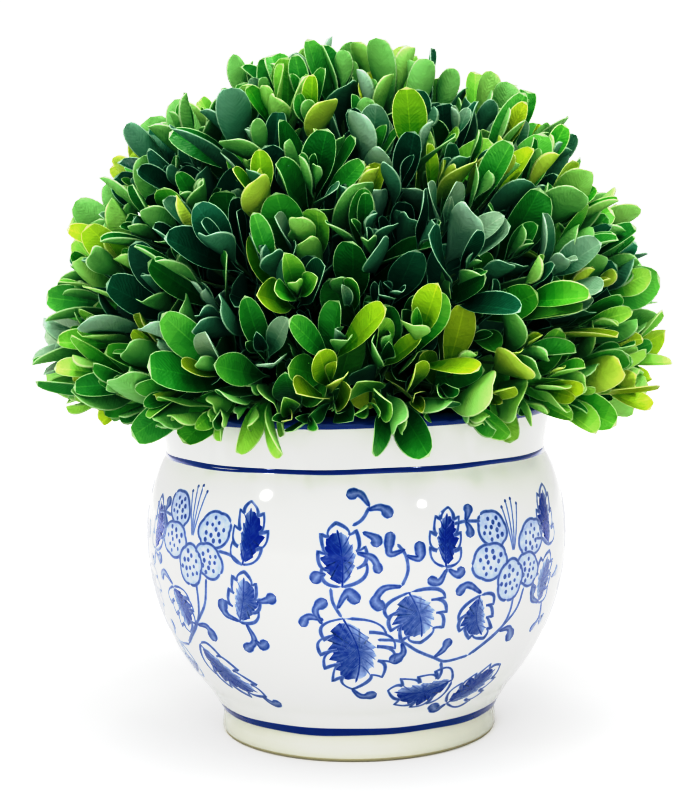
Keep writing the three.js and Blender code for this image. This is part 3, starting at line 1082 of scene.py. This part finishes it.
# Waxy leaf skin: a satin sheen, broken by blisters and by fine side veins that run up from the rib
def leafSkin(name, tint, roughness):
    material = newMaterial(name, {
        "Base Color": tint, "Roughness": roughness, "IOR": 1.45, "Specular IOR Level": 0.4},
        grain=leaf["blister"], height=leaf["blisterHeight"], gloss=(roughness - 0.08, roughness + 0.14))
    tree, shader = material.node_tree, shaderOf(material)
    blade = addNode(tree, "ShaderNodeAttribute", attribute_name="blade")
    veins = addNode(tree, "ShaderNodeTexWave", {
        "Vector": blade.outputs["Vector"], "Scale": 0.314 / (leaf["veinSpacing"] * mm),
        "Distortion": 5.0, "Detail": 2.0, "Detail Scale": 1.5})
    feed(shader, {"Normal": addNode(tree, "ShaderNodeBump", {
        "Height": veins.outputs["Fac"], "Distance": leaf["veinHeight"] * mm, "Strength": 1.0,
        "Normal": shader.inputs["Normal"].links[0].from_socket})})
    return material


# The skins of one kind of spray: upper tints from dark to light, then undersides from darker, as painted
# shade at the base, to lighter, then the rim
def leafSkins(name):
    dark, light, under, rim = sprays[name][1:]
    gloss = tinting["gloss"]
    # Tints are mixed as the eye sees them, not as light adds up
    dark, light = np.array(linear(dark)) ** 0.45, np.array(linear(light)) ** 0.45
    skins = []
    for i in range(tinting["steps"]):
        tint = (dark + (light - dark) * i / (tinting["steps"] - 1)) ** (1 / 0.45)
        skins.append(leafSkin(f"{name}Leaf{i + 1}", tint, gloss["upper"]))
    for i, tone in enumerate(np.linspace(*tinting["under"], tinting["underSteps"])):
        tint = np.array(linear(under)) * [tone, tone, tone, 1]
        skins.append(leafSkin(f"{name}LeafUnder{i + 1}", tint, gloss["under"]))
    return skins + [leafSkin(f"{name}LeafRim", linear(rim), gloss["rim"])]


# Which kind of colour each leaf has, and how deep in the crown and how young and lit it counts as
def sortLeaves(sites):
    draw = np.where(dice(sites["pick"], 23) < tinting["strays"],
                    dice(sites["pick"], 22), dice(sites["twig"], 21))
    # Shaded leaves further in are mostly the old dark ones, which is also painted shade for the crown's
    # depths; those near the rim and top count as younger and lit
    height = (sites["root"][:, 2] + growth["centre"] - pot["height"]) / growth["reach"]
    low = np.clip(1 - height / tinting["low"], 0, 1)
    youngAndLit = tinting["lowYoungAndLit"] * low
    youngAndLit = youngAndLit + tinting["topYoungAndLit"] * np.clip((height - tinting["top"]) / 0.25, 0, 1)
    # Those on the left and right flanks count as young and lit too, most of all on the right (+X) one:
    # painted light
    flank = sites["root"][:, 0] / growth["reach"]
    youngAndLit = youngAndLit + np.abs(flank) ** 3 + tinting["sunnyYoungAndLit"] * np.clip(flank, 0, 1)
    sunk = sites["sunk"] * (1 - tinting["lowSunk"] * low)
    youngAndLit = youngAndLit * (1 - sunk)
    draw = 1 - (1 - draw) * (1 - tinting["youngKind"] * youngAndLit)
    draw = draw * (1 - tinting["sunkKind"] * sunk)
    limits = np.cumsum([spray[0] for spray in sprays.values()])
    kind = np.minimum(np.searchsorted(limits, draw), len(sprays) - 1)
    return kind, dict(sites, sunk=sunk, youngAndLit=youngAndLit)


def buildLeaves(sites):
    kind, sites = sortLeaves(sites)
    steps, underSteps = tinting["steps"], tinting["underSteps"]
    for number, name in enumerate(sprays):
        chosen = choose(sites, kind == number)
        skins = leafSkins(name)
        points, blade, quads, kinds, strips = growLeaves(chosen)
        # The blade lightens from its base towards its tip, with painted shade at the base and painted light
        # towards the tip, and some leaves are lighter all over
        row, strip = np.arange(len(quads)) // strips, np.arange(len(quads)) % strips
        # The strips by the margins run half a row ahead of those by the rib in this painted gradient, as the
        # veins do
        ahead = np.where(np.isin(strip, (1, 5, 8, 11)), tinting["marginAhead"], 0)
        along = np.array(leaf["rows"])[row] + ahead
        # Each leaf's own lightness, darkened by painted shade deep in the crown and lightened by painted
        # light on young and lit leaves
        bright = (dice(chosen["pick"], 24) * tinting["own"] - tinting["start"]
                  - tinting["sunkPaintedShade"] * chosen["sunk"] + tinting["youngPaintedLight"] * chosen["youngAndLit"])
        # Painted shade on the base of the blade, where the neighbouring leaves shade it
        shadedBase = np.clip(1 - along / 0.45, 0, 1)
        shade = tinting["tip"] * along - tinting["base"] * shadedBase + tinting["rib"] * (strip == 3)
        shade = bright[:, None] + shade[None]
        faceMaterial = np.clip(np.round(shade * (steps - 1)), 0, steps - 1).astype(int)
        # Undersides run from painted shade at the base to lighter towards the tip
        below = steps + np.clip(along * underSteps, 0, underSteps - 1).astype(int)
        faceMaterial[:, kinds == "under"] = below[kinds == "under"]
        faceMaterial[:, kinds == "rim"] = steps + underSteps
        pieces = math.ceil(len(points) / leaf["most"])
        for part in range(pieces):
            mine = np.arange(part, len(points), pieces)
            faces = repeatQuads(quads, len(mine), points.shape[1])
            spots = points[mine].reshape(-1, 3) + [0, 0, growth["centre"]]
            piece = addPiece(f"{name}Leaves{part + 1}", spots, [faces], skins, faceMaterial[mine].ravel())
            layer = piece.data.attributes.new("blade", "FLOAT_VECTOR", "POINT")
            layer.data.foreach_set("vector", (blade[mine] * mm).astype(np.float32).ravel())
            settle(piece, "foliage", "foliage_ball")
            print(name, "leaves", len(mine), "triangles", len(faces) * 2)


# Thin twigs, each bent from a main sprig's root to its own end
def buildTwigs(storeys):
    rings, sides = fine["twigRings"], fine["twigSides"]
    path = np.concatenate([
        bentRun(twigs["root"][:, None], twigs["bend"][:, None], twigs["end"][:, None], rings)
        for twigs in storeys])
    radius = between((fine["twigFoot"], fine["twigTip"]), np.linspace(0, 1, rings))[:, None, None]
    along = unit(np.gradient(path, axis=1))
    side = unit(np.cross(along, [0.3, 0.2, 0.93]))
    other = np.cross(along, side)
    angle = np.arange(sides)[:, None] * 2 * math.pi / sides
    ring = path[:, :, None] + radius * (
        side[:, :, None] * np.cos(angle) + other[:, :, None] * np.sin(angle))
    # Young box stems: pale green-brown with fine lengthwise ridges
    bark = newMaterial("youngBoxBark", {
        "Base Color": linear(fine["youngBark"]), "Roughness": 0.6, "IOR": 1.45}, grain=0.7, height=0.06)
    faces = repeatQuads(gridQuads(rings, sides, True), len(path), rings * sides)
    piece = addPiece("fineTwigs", ring.reshape(-1, 3) + [0, 0, growth["centre"]], [faces], [bark])
    settle(piece, "foliage", "foliage_ball")


core = {"radius": 58.0, "bore": 5.8, "boreTop": 143.0, "rings": 40, "sides": 72, "mossAndShade": "#080d08"}


# Moss ball that the twigs stand in, bored for the stem: near black, as painted shade for the crown's depths
def buildCore():
    radius = core["radius"]
    seat = pot["height"] + 0.4 - growth["centre"]
    boreTop = core["boreTop"] - growth["centre"]
    elevation = np.linspace(math.asin(seat / radius), math.pi / 2, core["rings"])
    profile = [(0.01, boreTop), (core["bore"], boreTop), (core["bore"], seat)]
    profile += [(radius * math.cos(e) + 0.01, radius * math.sin(e)) for e in elevation]
    points, faces = turn(profile, core["sides"])
    outer = np.linalg.norm(points, axis=1) > radius - 1
    rough = np.where(outer, 1 + 0.01 * vary(np.arange(len(points)), 31), 1)
    # Dry moss bound round the ball's middle, in tufts of a few millimetres; its near-black colour is painted
    # shade
    mossAndShade = newMaterial("mossAndPaintedShade", {"Base Color": linear(core["mossAndShade"]), "Roughness": 0.95, "IOR": 1.4},
                       grain=3.0, height=1.2)
    piece = addPiece("mossCore", points * rough[:, None] + [0, 0, growth["centre"]], [faces], [mossAndShade])
    settle(piece, "foliage", "foliage_ball")


def buildCrown():
    sprigs = mainSprigs()
    storeys = [fineTwigs(storey, number, sprigs) for number, storey in enumerate(fine["storeys"])]
    kept = None
    for twigs in storeys:
        kept = keepClear(leafSites(twigs), kept)
        print("leaves kept", len(kept["pick"]))
    buildLeaves(kept)
    buildTwigs(storeys)
    buildCore()


buildCrown()
print("crown done")


# Light, floor and camera, in metres

studio = {
    "world": 0.84,
    "backdrop": 1.5,
    "mirrored": 0.66,
    "floor": "#d2d2d2",
    "floorHalf": 3.0,
    "floorGlow": (0.84, 1.7),
    "glowReach": (0.25, 0.9),
    # Close round the foot the paper's glow is cut down to this share of it: a painted shadow
    "footShade": 0.42,
    "shadeReach": (0.045, 0.095),
    "contrast": 1.7,
    # Light from the scene and what the picture makes of it: deep shadows, and a soft end to the whites
    "tones": [(0, 0), (0.02, 0.012), (0.075, 0.047), (0.15, 0.12), (0.28, 0.28), (0.50, 0.55), (0.65, 0.74),
              (0.78, 0.86), (0.90, 0.893), (1.05, 0.922), (1.4, 1)],
    # The picture's shadows are cool: less red is left in them
    "reds": [(0, 0), (0.0235, 0.008), (0.0434, 0.0195), (0.0815, 0.058), (0.14, 0.136), (0.3, 0.3), (1, 1)],
    # Place, size and watts of each light, and whether it shows in gloss: only the small glints and the
    # top light do, and the rest is a light tent that doesn't
    "lights": {
        "leftGlint": ((-0.89, -0.67, 0.67), 0.14, 1.6, True),
        "rightGlint": ((0.69, -0.92, 0.60), 0.10, 1.2, True),
        "topLight": ((0.1, -0.3, 1.35), 0.90, 16, True),
        "keyLight": ((0.0, -0.95, 0.85), 0.30, 2.8, False),
        "frontLight": ((0, -1.35, 0.12), 1.00, 10, False),
        "leftLight": ((-1.1, -0.7, 0.25), 0.80, 3, False),
        "rightLight": ((1.1, -0.7, 0.25), 0.80, 0.6, False),
        "backLeftLight": ((-0.95, 0.95, 0.50), 0.90, 7, False),
        "backRightLight": ((0.95, 0.95, 0.50), 0.90, 4, False),
    },
    "lightsAimAt": (0, 0, 0.12),
}
photoCamera = {
    "width": 700,
    "height": 812,
    "distance": 0.608,
    "high": 0.1756,
    "pitch": 5.44,
    "yaw": 0.15,
    "roll": -0.89,
    "focalPixels": 1675,
    "sensor": 36,
}


# How bright something is to the eye and in a reflection; it is 0 as a light
def addSeen(tree, straight, mirrored):
    path = addNode(tree, "ShaderNodeLightPath")
    inGloss = addNode(tree, "ShaderNodeMath", {0: path.outputs["Is Glossy Ray"], 1: mirrored},
                      operation="MULTIPLY")
    return addNode(tree, "ShaderNodeMath", {0: path.outputs["Is Camera Ray"], 1: straight, 2: inGloss},
                   operation="MULTIPLY_ADD")


def buildFloor():
    # Paper sweep, as bright to the eye and in the glaze as the backdrop, so that it has no horizon
    paper = newMaterial("paleFloor", {
        "Base Color": linear(studio["floor"]), "Roughness": 0.8, "Specular IOR Level": 0.1,
        "Emission Color": linear(studio["floor"])})
    tree = paper.node_tree
    place = addNode(tree, "ShaderNodeTexCoord")
    away = addNode(tree, "ShaderNodeVectorMath", {0: place.outputs["Object"]}, operation="LENGTH")
    shown = addSeen(tree, 1, studio["mirrored"])
    # The glow grows away from the object so the far floor stays white, and close round the foot it is cut as
    # a painted shadow
    for (near, far), (start, end) in ((studio["glowReach"], studio["floorGlow"]),
                                      (studio["shadeReach"], (studio["footShade"], 1.0))):
        glow = addNode(tree, "ShaderNodeMapRange", {
            "Value": away.outputs["Value"], "From Min": near, "From Max": far,
            "To Min": start, "To Max": end})
        shown = addNode(tree, "ShaderNodeMath", {0: glow, 1: shown}, operation="MULTIPLY")
    feed(shaderOf(paper), {"Emission Strength": shown})
    size = studio["floorHalf"] / mm
    floor = addPiece("floor", [(-size, -size, 0), (size, -size, 0), (size, size, 0), (-size, size, 0)],
                     [[[0, 1, 2, 3]]], [paper])


def buildWorld():
    world = bpy.data.worlds.new("softWorld")
    bpy.context.scene.world = world
    world.use_nodes = True
    tree = world.node_tree
    # The backdrop is white to the eye and in reflections, and dimmer as a light
    seen = addSeen(tree, studio["backdrop"], studio["backdrop"] * studio["mirrored"])
    strength = addNode(tree, "ShaderNodeMath", {0: seen, 1: studio["world"]}, operation="MAXIMUM")
    feed(tree.nodes["Background"], {"Color": (1, 1, 1, 1), "Strength": strength})


def buildLights():
    for name, (place, size, watts, glints) in studio["lights"].items():
        data = bpy.data.lights.new(name, "AREA")
        data.shape = "DISK"
        data.size = size
        data.energy = watts
        lamp = bpy.data.objects.new(name, data)
        lamp.visible_glossy = glints
        bpy.context.scene.collection.objects.link(lamp)
        back = unit(np.array(place) - studio["lightsAimAt"])
        lamp.location = place
        lamp.rotation_euler = Euler((math.acos(back[2]), 0, math.atan2(back[0], -back[1])))


# The picture's tone curve
def setView():
    view = bpy.context.scene.view_settings
    view.view_transform = "Standard"
    view.gamma = 1 / studio["contrast"]
    view.use_curve_mapping = True
    curves = view.curve_mapping
    most = studio["tones"][-1][0]
    curves.white_level = (most, most, most)
    for light, shown in studio["tones"][1:-1]:
        curves.curves[3].points.new(light / most, shown)
    for light, shown in studio["reds"][1:-1]:
        curves.curves[0].points.new(light, shown)
    curves.update()


def buildCamera():
    data = bpy.data.cameras.new("photoCamera")
    data.sensor_width = photoCamera["sensor"]
    pixels = max(photoCamera["width"], photoCamera["height"])
    data.lens = photoCamera["sensor"] * photoCamera["focalPixels"] / pixels
    data.clip_start = 0.01
    camera = bpy.data.objects.new("photoCamera", data)
    bpy.context.scene.collection.objects.link(camera)
    camera.location = (0, -photoCamera["distance"], photoCamera["high"])
    tilt = Euler((rad(90 - photoCamera["pitch"]), 0, rad(photoCamera["yaw"]))).to_matrix()
    roll = Euler((0, 0, rad(photoCamera["roll"]))).to_matrix()
    camera.rotation_euler = (tilt @ roll).to_euler()
    bpy.context.scene.camera = camera


buildFloor()
buildWorld()
buildLights()
setView()
buildCamera()
print("studio done")

bpy.context.view_layer.update()
